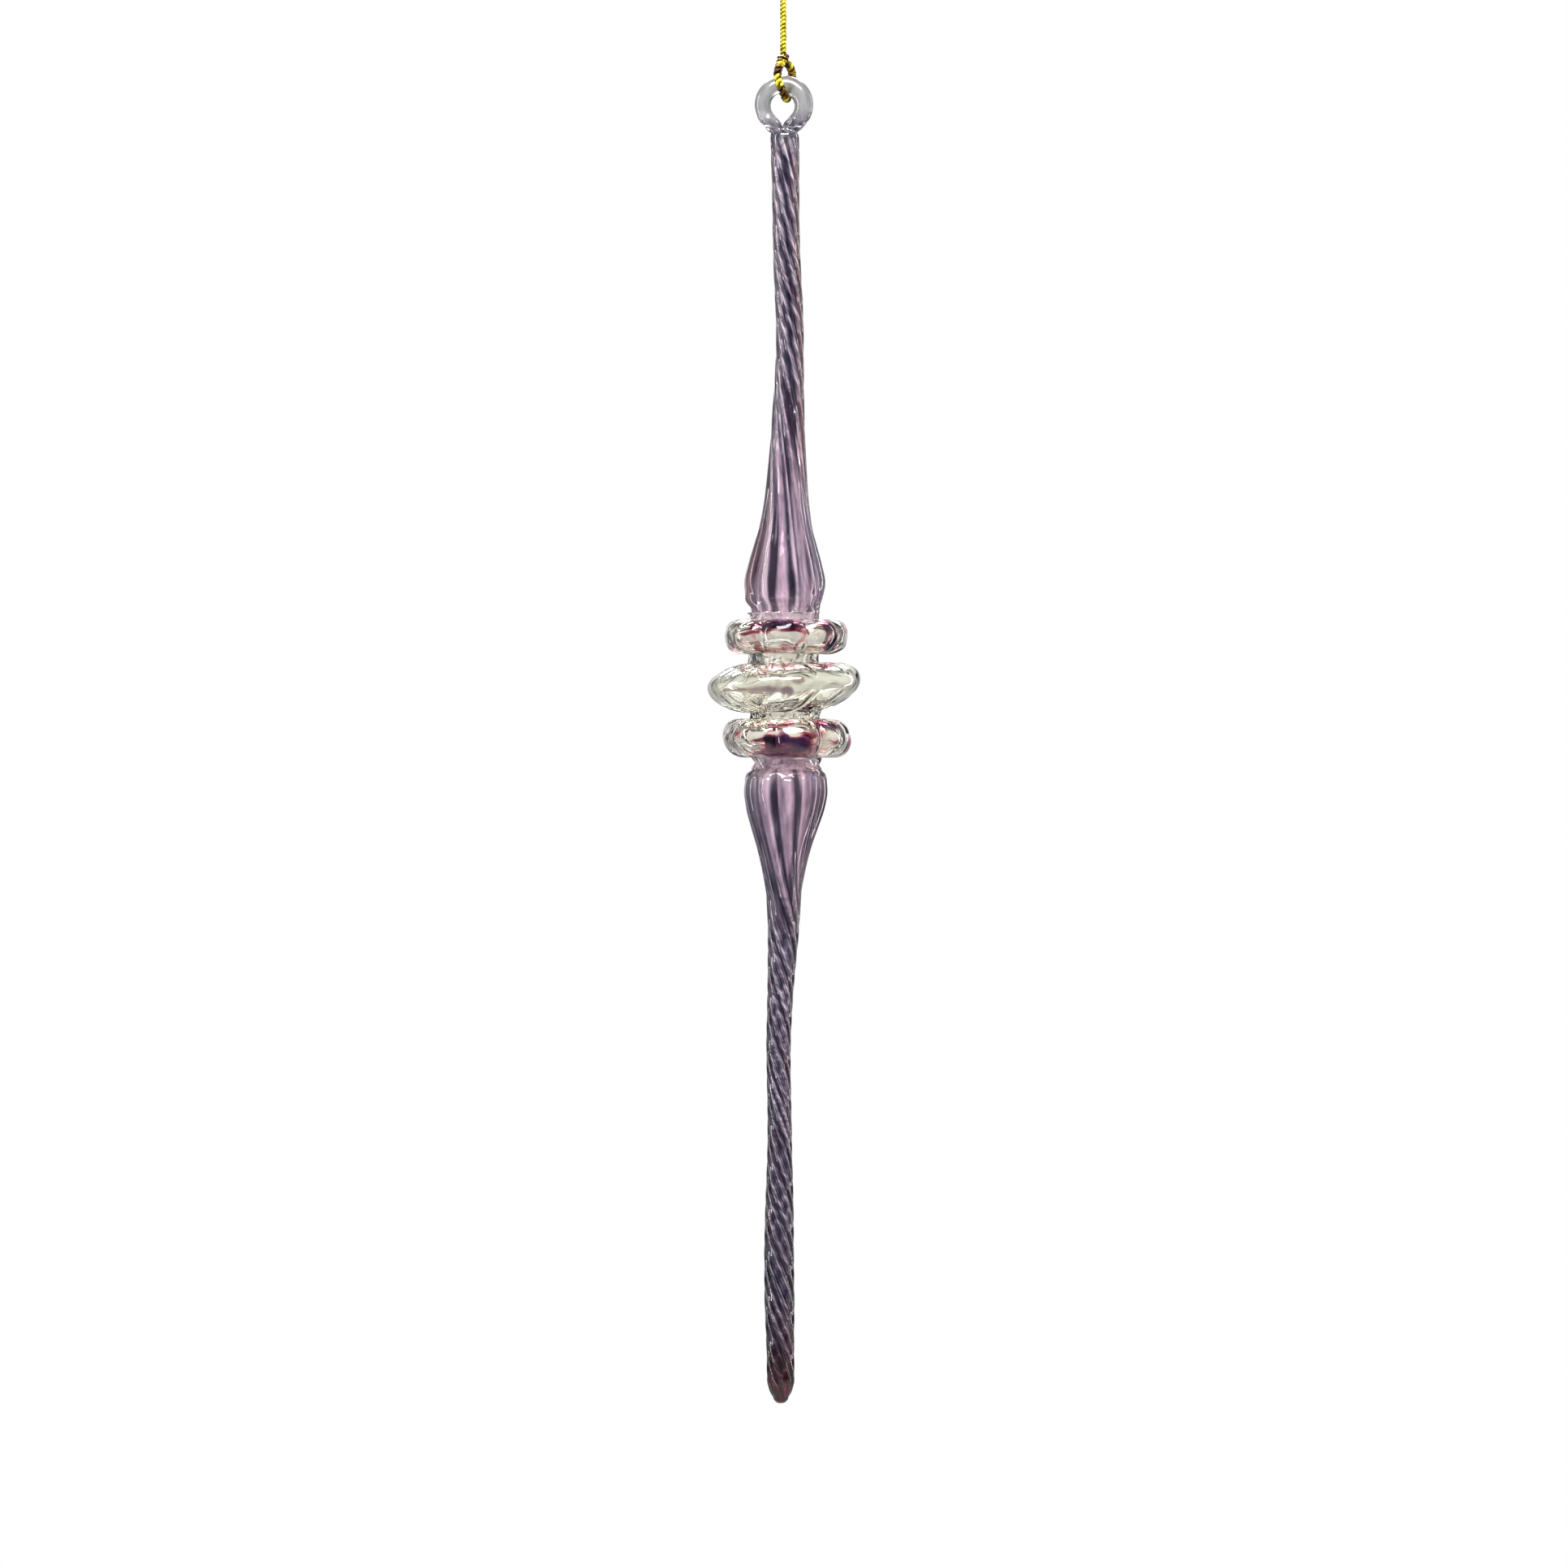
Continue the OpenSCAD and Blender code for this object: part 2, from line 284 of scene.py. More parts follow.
loop_knot_z = (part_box("loop_knot")[0][2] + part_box("loop_knot")[1][2]) / 2 / MM
loop_knot = rope(
    "loop_knot_wraps", coil(3.3, 0.78, loop_knot_z - 0.85, loop_knot_z + 0.85, 0.18), 0.48, gold_dark)
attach(loop_knot, "cord")
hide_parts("loop_knot")

# ---------------------------------------------------------------- camera
PICTURE_SIZE = 224.3             # millimetres across the picture at the ornament
PICTURE_CENTRE = (0.1, GLASS_TOP - 101.4)
CAMERA_AWAY = 1200.0
camera = bpy.data.objects.new("camera", bpy.data.cameras.new("camera"))
camera.data.sensor_width = 36
camera.data.lens = 36 * CAMERA_AWAY / PICTURE_SIZE
camera.location = (PICTURE_CENTRE[0] * MM, -CAMERA_AWAY * MM, PICTURE_CENTRE[1] * MM)
camera.rotation_euler = (math.radians(90), 0, 0)
bpy.context.scene.collection.objects.link(camera)
bpy.context.scene.camera = camera

# ---------------------------------------------------------------- tied end of the cord
knot_low, knot_high = (c[2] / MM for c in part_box("tie_knot"))
knot_z = (knot_low + knot_high) / 2
ROD_R = 1.35                     # the glass rod that the eye is bent from
EYE_R = 2.95
WELD_END_R = 2.07
pivot_z = GLASS_TOP - ROD_R

tie_knot = rope(
    "tie_knot_wraps", coil(3.2, 0.52, knot_z - 0.7, knot_z + 0.75, 0.22, 2.2, -0.35), 0.42, gold_dark,
    bright=(0.9,))
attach(tie_knot, "knot")
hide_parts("tie_knot")

# Turn of cord through the glass eye: down in front of the rod, under it and up behind it
TIED_ROUTE = [
    (-0.3, -0.45, 3.0), (-0.62, -1.25, 2.35), (-0.8, -1.85, 1.4), (-0.68, -2.05, 0.4), (-0.35, -2.0, -0.5),
    (0.0, -1.6, -1.35), (0.3, -0.8, -1.93), (0.5, 0.2, -2.02), (0.62, 1.1, -1.7), (0.85, 1.85, -0.85),
    (1.15, 2.05, 0.1), (1.3, 1.88, 1.1), (1.15, 1.35, 2.1), (0.75, 0.65, 2.85), (0.3, 0.1, 3.1),
]
tied = rope(
    "tied_eye_cord", through([(x, y, pivot_z + z) for x, y, z in TIED_ROUTE], 0.3), 0.62, gold_dark,
    pitch=1.5, bright=(0.02, 0.19, 0.25, 0.44, 0.72, 0.93))
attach(tied, "tied_eye")
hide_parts("cord_eye")


# ---------------------------------------------------------------- glass materials
CLEAR_TINTS = [
    (0.20, (0.30, 0.22, 0.24)), (0.40, (0.54, 0.45, 0.40)), (0.56, (0.89, 0.88, 0.78)),
    (0.9, (0.98, 0.98, 0.92)),
]
EYE_TINTS = [
    (0.20, (0.16, 0.15, 0.16)), (0.45, (0.31, 0.305, 0.31)), (0.65, (0.40, 0.395, 0.40)),
    (0.9, (0.55, 0.55, 0.55)),
]
AMETHYST_TINTS = [
    (0.18, (0.008, 0.006, 0.016)), (0.36, (0.080, 0.070, 0.118)), (0.50, (0.29, 0.25, 0.33)),
    (0.64, (0.56, 0.44, 0.535)), (0.80, (0.90, 0.70, 0.81)), (0.95, (1.0, 0.93, 0.96)),
]
PLUM_TINTS = [
    (0.12, (0.030, 0.015, 0.08)), (0.26, (0.08, 0.018, 0.06)), (0.44, (0.34, 0.08, 0.13)),
    (0.52, (0.74, 0.38, 0.35)), (0.60, (0.88, 0.80, 0.74)), (0.80, (0.96, 0.96, 0.89)),
]
RED_TINTS = [
    (0.22, (0.012, 0.001, 0.002)), (0.40, (0.06, 0.005, 0.006)), (0.54, (0.22, 0.022, 0.025)),
    (0.72, (0.60, 0.19, 0.16)), (0.92, (0.95, 0.60, 0.50)),
]


def glass_material(
        name, hues, speckle=(1.2, 0.06), share=0.3, roughness=0.02, coat=0.0, clarity=1.0, shine=0.5):
    """Tinted glass: the pigment attribute picks the shade, and fine streaks run along the twist. speckle
    is how fast they change across it and along it, and share is their share of the shade. The tint
    attribute goes from the first of the hues, at 0, to the next, at 1, and so on. A roughness pair goes
    from the first, where the tint is 0, to the second, where it nears 1. The pigment also carries painted
    shade and painted highlights."""
    material = bpy.data.materials.new(name)
    tree, shader = nodes_of(material)
    shader.inputs["Transmission Weight"].default_value = clarity
    shader.inputs["IOR"].default_value = 1.5
    shader.inputs["Specular IOR Level"].default_value = shine
    shader.inputs["Coat Weight"].default_value = coat
    grain = add(tree, "ShaderNodeAttribute", attribute_name="grain")
    place = tree.nodes.new("ShaderNodeMapping")
    place.inputs["Scale"].default_value = (speckle[0], speckle[0], speckle[1])
    tree.links.new(grain.outputs["Vector"], place.inputs["Vector"])
    streaky = add(tree, "ShaderNodeTexNoise", Scale=5.0, Detail=5.0, Roughness=0.65)
    tree.links.new(place.outputs["Vector"], streaky.inputs["Vector"])
    # Pigment together with painted shade and painted highlights
    pigment_and_painted_light = add(tree, "ShaderNodeAttribute", attribute_name="pigment_and_painted_light")
    shade = add(tree, "ShaderNodeMath", operation="MULTIPLY_ADD")
    shade.inputs[1].default_value = share
    tree.links.new(streaky.outputs["Fac"], shade.inputs[0])
    tree.links.new(pigment_and_painted_light.outputs["Fac"], shade.inputs[2])
    tint = add(tree, "ShaderNodeAttribute", attribute_name="tint")
    colour = ramp(tree, shade.outputs["Value"], hues[0]).outputs["Color"]
    for k, hue in enumerate(hues[1:]):
        how_far = add(tree, "ShaderNodeMath", operation="SUBTRACT", use_clamp=True)
        how_far.inputs[1].default_value = k
        tree.links.new(tint.outputs["Fac"], how_far.inputs[0])
        mix = add(tree, "ShaderNodeMix", data_type="RGBA")
        tree.links.new(how_far.outputs["Value"], mix.inputs["Factor"])
        tree.links.new(colour, mix.inputs["A"])
        tree.links.new(ramp(tree, shade.outputs["Value"], hue).outputs["Color"], mix.inputs["B"])
        colour = mix.outputs["Result"]
    tree.links.new(colour, shader.inputs["Base Color"])
    if isinstance(roughness, tuple):
        softer = ramp(tree, tint.outputs["Fac"], [(0.0, (roughness[0],) * 3), (0.8, (roughness[1],) * 3)])
        tree.links.new(softer.outputs["Color"], shader.inputs["Roughness"])
    else:
        shader.inputs["Roughness"].default_value = roughness
    return material


def seam_material():
    """Where two gathers of glass are fused there is no surface to see."""
    material = bpy.data.materials.new("fused_seam")
    tree, shader = nodes_of(material)
    shader.inputs["Alpha"].default_value = 0.0
    return material


clear = glass_material("clear_glass", [CLEAR_TINTS, AMETHYST_TINTS], speckle=(1.5, 0.5))
eye_clear = glass_material(
    "eye_glass", [EYE_TINTS, AMETHYST_TINTS], speckle=(1.5, 0.3), roughness=(0.32, 0.05),
    coat=1.0, clarity=0.75)
amethyst = glass_material(
    "amethyst_glass", [CLEAR_TINTS, AMETHYST_TINTS, RED_TINTS], share=0.5, clarity=0.88, shine=0.28)
banded = glass_material("banded_glass", [CLEAR_TINTS, PLUM_TINTS], speckle=(1.6, 0.5))
red = glass_material(
    "red_glass", [CLEAR_TINTS, AMETHYST_TINTS, RED_TINTS], share=0.5, clarity=0.88, shine=0.12)
seam = seam_material()

# ---------------------------------------------------------------- glass shapes
ANGLES = np.arange(ROUND) * 2 * math.pi / ROUND
FRONT = -math.pi / 2
# Sideways wander of the drawn glass, as depth below the glass eye's top and distance along X
LEAN = [
    (0, 0), (9, 0.2), (24, 0.45), (38, 0.93), (52, 0.65), (60, 0.45), (73, 0.2), (87, 0), (95, 0.4),
    (103, 0.35), (112, 0.1), (122, 0), (130, -0.35), (140, -0.7), (152, -0.5), (167, -0.6), (178, -0.5),
    (190, -0.35),
]


def ripple(points, size, seed, waves=9):
    """Smooth deterministic noise of about unit spread, with features about size millimetres across."""
    rng = np.random.default_rng(seed)
    ways = rng.normal(size=(waves, 3))
    ways *= (2 * math.pi / size * rng.uniform(0.6, 1.5, waves) / np.linalg.norm(ways, axis=1))[:, None]
    shifts = rng.uniform(0, 2 * math.pi, waves)
    return np.sin(points @ ways.T + shifts).sum(-1) / math.sqrt(waves / 2)


def crease(points, size, seed):
    """Noise with sharp folds, from 0 to 1."""
    return np.exp(-1.6 * np.abs(ripple(points, size, seed)))


def skin(depth, radius, angle, pigment_and_painted_light, tint=1.0, turn=0.0):
    """Rows of glass surface: place, grain before twisting, pigment with painted light, and tint at each
    point.
    """
    radius, angle, depth, pigment_and_painted_light, tint, turn = np.broadcast_arrays(radius, angle, depth, pigment_and_painted_light, tint, turn)
    x = smooth(LEAN, depth) + radius * np.cos(angle)
    loose = angle - turn
    return np.stack([
        x, radius * np.sin(angle), GLASS_TOP - depth, np.cos(loose), np.sin(loose), depth, pigment_and_painted_light, tint,
    ], axis=-1)


def glass_piece(node, layers, start, end):
    """Closed glass piece for a CAD node, from layers of (rows, material) run one after another. Between two
    layers there is a fused seam, and so is a "cap"; a "point" closes an end, and "join" runs the last row
    on to the first."""
    materials = []
    for _, m in layers:
        if m not in materials:
            materials.append(m)
    materials.append(seam)
    last = len(materials) - 1
    rows = np.concatenate([r for r, _ in layers])
    bands = []
    for r, m in layers:
        bands += [materials.index(m)] * (len(r) - 1) + [last]
    closed = start == "join"
    faces = tube_faces(len(rows), ROUND, wrap=closed)
    which = np.repeat(bands if closed else bands[:-1], ROUND)
    data = rows.reshape(-1, 8)
    # Seam faces have corners of their own, so that they do not bend the shading of the glass beside them
    in_seam = which == last
    own_corners = data[faces[in_seam].ravel()]
    faces[in_seam] = len(data) + np.arange(len(own_corners)).reshape(-1, 4)
    data = np.vstack([data, own_corners])
    faces, which = faces.tolist(), which.tolist()
    for how, first, back in ((start, 0, False), (end, (len(rows) - 1) * ROUND, True)):
        if how == "join":
            continue
        edge_row = rows.reshape(-1, 8)[first:first + ROUND]
        middle = len(data)
        data = np.vstack([data, edge_row.mean(0)])
        if how == "cap":
            first = len(data)
            data = np.vstack([data, edge_row])
        for k in range(ROUND):
            edge = [first + k, first + (k + 1) % ROUND]
            faces.append([middle, *(reversed(edge) if back else edge)])
            which.append(last if how == "cap" else (bands[-2] if back else bands[0]))
    obj = mesh_object(node + "_glass", data[:, :3], faces, materials, which)
    obj.data.polygons.foreach_set("use_smooth", np.array(which) != last)
    store(obj, data[:, 3:6], data[:, 6], data[:, 7])
    own(obj, node)


def store(obj, grain, pigment_and_painted_light, tint):
    """Keep the grain, the pigment with its painted light, and the tint on the mesh for its material."""
    obj.data.attributes.new("grain", "FLOAT_VECTOR", "POINT").data.foreach_set(
        "vector", np.asarray(grain, np.float32).ravel())
    for name, values in (("pigment_and_painted_light", pigment_and_painted_light), ("tint", tint)):
        obj.data.attributes.new(name, "FLOAT", "POINT").data.foreach_set(
            "value", np.asarray(values, np.float32).ravel())


def own(obj, node):
    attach(obj, "glass")
    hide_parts(node)


# Outlines of the glass and of the air in it, as (depth, radius)
UPPER = [
    (9, 2.08), (14, 2.0), (22, 1.97), (30, 2.0), (38, 1.98), (44, 2.12), (50, 2.43), (56, 2.8),
    (60, 3.15), (64.4, 3.85), (67.2, 4.6), (70, 5.35), (72.8, 5.88), (74.6, 5.65), (76, 5.1), (76.9, NECK_R),
]
LOWER = [
    (99.3, NECK_R), (99.9, 5.5), (101, 6.0), (102.5, 6.1), (104.8, 5.7), (107.6, 4.85), (110.4, 3.95),
    (113.2, 3.25), (116, 2.75), (119, 2.45), (123, 2.25), (128.5, 1.97), (134.3, 1.8), (143.6, 1.74),
    (153.6, 1.8), (160.6, 2.0), (167.5, 2.12), (175, 2.17), (182, 2.03), (186.3, 2.0),
]
UPPER_AIR = [
    (43, 0), (43.6, 0.3), (50, 0.95), (56, 1.7), (60, 2.3), (64.4, 3.1), (67.2, 3.85), (70, 4.6), (72.8, 5.1),
    (74.6, 4.9), (76, 4.35), (76.9, BORE_R),
]
LOWER_AIR = [
    (99.3, BORE_R), (99.9, 4.7), (101, 5.2), (102.5, 5.3), (104.8, 4.9), (107.6, 4.05), (110.4, 3.15),
    (113.2, 2.4), (116, 1.8), (119, 1.2), (122.4, 0.4), (123, 0),
]
# Outline of the tip, as (part of the way round its end, radius)
TIP = [
    (0, 2.0), (0.12, 1.93), (0.2, 1.8), (0.304, 1.64), (0.40, 1.47), (0.494, 1.24), (0.56, 1.10),
    (0.63, 1.03), (0.70, 0.90), (0.79, 0.69), (0.9, 0.37), (1, 0),
]
UPPER_PHASE = 0.12               # angle of one of the grooves between the ribs, in radians
LOWER_PHASE = 0.05


def ends_of(node):
    """Depths at which a section of the glass starts and the next one does."""
    at = list(STARTS).index(node)
    return list(STARTS.values())[at:at + 2]


def gap_to(angle, place):
    """Angle from a place, between half a turn back and half a turn on."""
    return (angle - place + math.pi) % (2 * math.pi) - math.pi


def turn_of(outline, depths, rate):
    """Turn of the ribs at each depth, in radians: thin glass twists far more than thick."""
    each = np.radians(rate) * np.minimum(1, (2.1 / smooth(outline, depths)) ** 3)
    return np.concatenate([[0], np.cumsum(np.diff(depths) * (each[1:] + each[:-1]) / 2)])


def scallop(deep, alternate, phase, sharp=0.2):
    """Share of the radius left by the grooves between ribs. Every second groove can be deeper."""
    wave = np.sqrt(np.sin(RIBS * (ANGLES - phase) / 2) ** 2 + sharp**2)
    groove = (math.sqrt(1 + sharp**2) - wave) / (math.sqrt(1 + sharp**2) - sharp)
    return 1 - deep * (1 + alternate * np.cos(RIBS / 2 * (ANGLES - phase))) * groove


def wobble(angle, depth, first, last):
    """Slight unevenness of the drawn glass, none at the ends of the piece."""
    amount = smooth([(first, 0), (first + 3, 1), (last - 3, 1), (last, 0)], depth)
    return amount * (0.010 * np.sin(2 * angle + 0.2 * depth) + 0.008 * np.sin(3 * angle - 0.3 * depth))


def crumpled(depth, angle, radius, seed, amount=1.0):
    """Radius with the folds that pinching leaves: only near the necks."""
    depth, angle, radius = np.broadcast_arrays(depth, angle, radius)
    at = np.stack([radius * np.cos(angle), radius * np.sin(angle), 1.3 * depth], axis=-1)
    near = smooth([
        (9, 0), (10.2, 0.3), (13, 0), (73, 0), (75.6, 1.0), (77.3, 1.4), (79, 0), (81.8, 0), (83.2, 1),
        (84.8, 0.9), (87, 0), (89.4, 0), (91, 1), (92.2, 1), (93.5, 0), (96.6, 0), (98, 1.5), (99.6, 1.0),
        (102, 0),
    ], depth)
    return radius + amount * near * (0.13 * ripple(at, 3.6, seed) - 0.24 * (crease(at, 4.0, seed + 1) - 0.4))


def at_of(r, depth):
    """Places all round at the given radii and depths, to take noise at."""
    return np.stack(np.broadcast_arrays(r * np.cos(ANGLES), r * np.sin(ANGLES), depth), -1)


# ---------------------------------------------------------------- colour in the glass
def beside(angle, at, wide):
    """1 on the side at so many degrees from the front, falling off round it within wide degrees."""
    return np.exp(-((gap_to(angle, FRONT + math.radians(at)) / math.radians(wide)) ** 2))


def streaks(depth, chosen, count, seed, strength):
    """Pigment of the drawn streaks: listed ones at the front and others all round.
    A chosen streak is (angle from the front in degrees, width in degrees, change of pigment)."""
    rng = np.random.default_rng(seed)
    tone = 0
    for at, wide, change in chosen:
        tone = tone + change * beside(ANGLES, at, wide)
    for k in range(count):
        at = rng.uniform(-math.pi, math.pi)
        wide = math.radians(rng.uniform(3, 9))
        change = strength * rng.choice([-1.3, 1.0])
        drift = 0.12 * np.sin(depth / rng.uniform(6, 14) + rng.uniform(0, 6))
        patchy = 0.65 + 0.5 * np.sin(depth / rng.uniform(3, 9) + rng.uniform(0, 6))
        tone = tone + change * patchy * np.exp(-((gap_to(ANGLES - drift, at) / wide) ** 2))
    return tone


def painted_groove_shade(width, phase, every_second=False):
    """Mask for painted shade: 1 in the groove between two ribs, falling off to 0 within a share of a rib."""
    half = RIBS / 4 if every_second else RIBS / 2
    reach = width * (0.5 if every_second else 1) * math.pi
    return np.exp(-((np.sin(half * (ANGLES - phase)) / reach) ** 2))


def painted_crest_highlight(width, phase):
    """Mask for painted highlights: 1 along the crest of each rib, falling off to 0 within a share of a rib.
    """
    return np.exp(-((np.cos(RIBS / 2 * (ANGLES - phase)) / (width * math.pi)) ** 2))


def fine_lines(depth, count, seed):
    """Fine drawn lines along the twist: 0 between them and 1 on them."""
    wander = 0.10 * np.sin(depth / 7.0 + seed) + 0.06 * np.sin(3 * ANGLES + depth / 5.0)
    return np.exp(-((np.sin(count / 2 * (ANGLES + wander)) / 0.30) ** 2))


def rod_lines_and_painted_light(angle, depths):
    """Lines of the thin lower rod: painted shade, near-black in every second groove, with finer lines
    between.
    """
    # Painted shade in the grooves, near-black in every second one
    lines = 0.60 * painted_groove_shade(0.11, LOWER_PHASE, True) + 0.24 * painted_groove_shade(0.07, LOWER_PHASE)
    # Finer lines, and painted highlight along the crests
    lines = lines + 0.24 * fine_lines(depths, 30, 2) - 0.34 * painted_crest_highlight(0.09, LOWER_PHASE) - 0.02
    # Painted light on the right side and painted shade down the front
    return 0.10 * beside(angle, 50, 22) - 0.06 * beside(angle, -6, 14) - lines


def bulb_lines_and_painted_shade(angle, depths, phase, groove, light_seed, dark_seed):
    """Lines of a bulb: painted shade in its grooves and at its sides, with fine light and dark ones."""
    lines = 0.16 * fine_lines(depths, 26, light_seed) - 0.16 * fine_lines(depths, 18, dark_seed)
    # Painted shade in the grooves, as deep as groove, and down both sides
    return lines - groove * painted_groove_shade(0.05, phase) - 0.10 * (beside(angle, -75, 22) + beside(angle, 75, 22))


def rosy_streaks(depths, seed, fade):
    """Tint of the streaks that lean to red, kept off the ends by fade."""
    return np.clip(streaks(depths, [], 12, seed, 0.4), 0, 0.6) * smooth(fade, depths)


def patches(angle, up, places):
    """Change of pigment in flat patches, each (angle from the front in degrees, its place along up, width in
    degrees, how far it reaches along up, change)."""
    change = 0
    for at, level, wide, tall, amount in places:
        across = gap_to(angle, FRONT + math.radians(at)) / math.radians(wide)
        far = across**2 + ((up - level) / tall) ** 2
        change = change + amount * np.exp(-0.7 * far**2)
    return change


def band_tone(r, depth, seed, middle, high, places):
    """Pigment and tint of a banded ring: clear, with patches and some colour left by its necks."""
    up = (middle - depth) / high
    near_neck = np.clip(1 - (r - NECK_R) / 1.2, 0, 1)
    at = at_of(r, depth)
    swirl = 0.5 * ripple(at, 3.6, seed)
    pigment_and_painted_light = 0.60 + patches(ANGLES + 0.10 * swirl, up + 0.2 * swirl, places) - 0.10 * near_neck
    crease_line = crease(at, 4.5, seed + 2) ** 6
    return np.maximum(pigment_and_painted_light - 0.16 * crease_line + 0.04 * ripple(at, 2.0, seed + 1), 0.03), 1.0


def upper_ring_tone(r, depth):
    return band_tone(r, depth, 31, 80.35, 2.45, [
        (-7, 0.60, 22, 0.40, -0.58), (54, 0.7, 12, 0.35, -0.5), (58, -0.55, 13, 0.45, -0.66),
        (-11, -0.85, 22, 0.16, -0.24), (17, 0, 3, 1, -0.26), (-33, 0, 3, 1, -0.24),
        (6, -0.55, 14, 0.10, -0.2), (110, 0.4, 18, 0.5, -0.4), (165, 0.6, 16, 0.35, -0.4),
        (-140, 0.5, 16, 0.5, -0.4), (-100, -0.5, 14, 0.4, -0.3),
    ])


def lower_ring_tone(r, depth):
    return band_tone(r, depth, 51, 94.85, 2.75, [
        (-12, -0.05, 8, 0.36, -0.62), (-3, -0.2, 4, 0.28, -0.55), (13, -0.24, 13, 0.30, -0.74),
        (0, -0.75, 38, 0.32, -0.40), (50, 0.75, 13, 0.3, -0.55), (33, 0.1, 5, 0.6, -0.24),
        (-46, 0.3, 10, 0.14, -0.24), (-4, 0.62, 12, 0.14, -0.36), (26, 0.3, 3, 0.5, -0.2),
        (105, -0.3, 16, 0.5, -0.4), (150, 0.5, 16, 0.4, -0.4), (-155, -0.4, 16, 0.5, -0.4),
        (-110, 0.4, 16, 0.5, -0.35),
    ])


def centre_ring_tone(r, depth):
    """Pigment and tint of the clear ring: painted shade along its folds, and a few smoky patches."""
    # Painted shade on the same crease lines that pleat the ring's surface
    crease_line = crease(at_of(5.5, 0.35 * r), 3.4, 24) ** 5
    pigment_and_painted_light = 0.48 + 0.05 * np.clip((r - NECK_R) / 5, 0, 1) + 0.05 * ripple(at_of(r, depth), 4.5, 25)
    pigment_and_painted_light = pigment_and_painted_light - 0.20 * crease_line + patches(ANGLES, (87.65 - depth) / 3.55, [
        (-17, -0.12, 14, 0.18, -0.34), (4, -0.14, 4.5, 0.18, -0.66), (12, 0.28, 6, 0.16, -0.40),
        (-27, 0.42, 9, 0.14, -0.24), (22, -0.22, 12, 0.10, -0.22), (120, 0.1, 14, 0.2, -0.3),
        (-130, -0.2, 14, 0.2, -0.3),
    ])
    return pigment_and_painted_light, 0.0


def upper_tone(angle, depths, stem):
    """Pigment of the upper spindle, with painted shade and highlights on its ribs and sides. stem is 1 on its
    thin stem and 0 on its bulb.
    """
    tone = smooth([(9, 0.26), (20, 0.25), (46, 0.23), (60, 0.33), (70, 0.37), (76.9, 0.44)], depths)
    tone = tone + streaks(depths, [
        (-27, 2.5, 0.60), (-19, 5, -0.40), (20, 2.2, 0.50), (10, 5, -0.32), (-50, 5, -0.15), (50, 5, -0.12),
        (-3, 5, 0.12),
    ], 14, 3, 0.10)
    # Painted highlight along the stem's rib crests and painted shade in its grooves
    tone = tone + stem * (0.42 * painted_crest_highlight(0.09, UPPER_PHASE) - 0.32 * painted_groove_shade(0.11, UPPER_PHASE))
    # Painted light down both sides of the stem
    tone = tone + stem * (0.15 * beside(angle, 55, 24) + 0.18 * beside(angle, -48, 14))
    # Painted shade down the front of the stem, deepest in its grooves
    tone = tone - stem * (0.08 + 0.38 * painted_groove_shade(0.20, UPPER_PHASE)) * beside(angle, 5, 20)
    tone = tone + (1 - stem) * bulb_lines_and_painted_shade(angle, depths, UPPER_PHASE, 0.24, 4, 9)
    return tone + patches(angle, -depths, [
        (0, -14.0, 17, 1.9, -0.40), (6, -20, 12, 1.0, -0.2), (5, -25, 12, 1.2, -0.2),
        (10, -31, 10, 1.2, -0.2), (2, -36.5, 12, 1.5, -0.25), (-4, -41, 14, 1.2, -0.2),
        (8, -47.2, 17, 2.0, -0.40), (20, -50, 9, 1.7, -0.4),
        (-18, -71.6, 3.6, 4.2, -0.60), (15, -73.4, 5.5, 2.6, -0.46), (38, -70, 3, 4, -0.3),
        (160, -71, 8, 4, -0.3), (-120, -72, 6, 4, -0.3), (105, -70, 5, 4, -0.3),
    ])


def lower_tone(angle, depths, stem):
    """Pigment of the lower spindle, with painted shade and highlights on its ribs and sides. stem is 0 on its
    bulb and 1 on its thin rod.
    """
    tone = smooth([
        (99.3, 0.40), (104, 0.31), (112, 0.27), (122, 0.20), (150, 0.17), (170, 0.11), (186.3, 0.07),
    ], depths)
    # Rod and bulb lines bring painted shade in the grooves and at the sides, and painted highlights on the
    # crests
    tone = tone + rod_streaks(depths) + stem * rod_lines_and_painted_light(angle, depths)
    tone = tone + (1 - stem) * bulb_lines_and_painted_shade(angle, depths, LOWER_PHASE, 0.22, 5, 2)
    return tone + patches(angle, -depths, [
        (18, -103.8, 3.2, 2.4, -0.66), (-18, -104.3, 5, 2.8, -0.40), (-15, -110.8, 6, 2.4, -0.24),
        (22, -114, 7, 3.5, -0.24), (160, -104, 7, 3, -0.4), (-120, -105, 6, 3, -0.3), (100, -104, 6, 3, -0.3),
    ])


def rod_streaks(depths):
    """Streaks that run from the lower bulb to the tip."""
    return streaks(depths, [
        (14, 3.5, -0.50), (-18, 5, -0.26), (-28, 3, 0.32), (25, 3, 0.34), (0, 5, 0.16), (45, 6, -0.10),
        (-50, 6, -0.08),
    ], 14, 8, 0.10)


# ---------------------------------------------------------------- glass pieces
def levels(top, change, bottom, first, more):
    """Depths of a spindle's rows: some down to where the air in it starts or ends, and more from there."""
    above = np.linspace(top, change, first, endpoint=False)
    return np.append(above, np.linspace(change, bottom, more))[:, None]


def air_wall(outline, inner, depths, turn, phase, pigment_and_painted_light):
    """Rows of a spindle's inside at the inner depths, with its ribs in line with those outside."""
    inner_turn = np.interp(inner, depths[:, 0], turn[:, 0])
    air = smooth(outline, inner) * scallop(0.05, 0.3, phase, 0.35)
    return skin(inner, air, ANGLES + inner_turn, pigment_and_painted_light, 1.0, inner_turn)


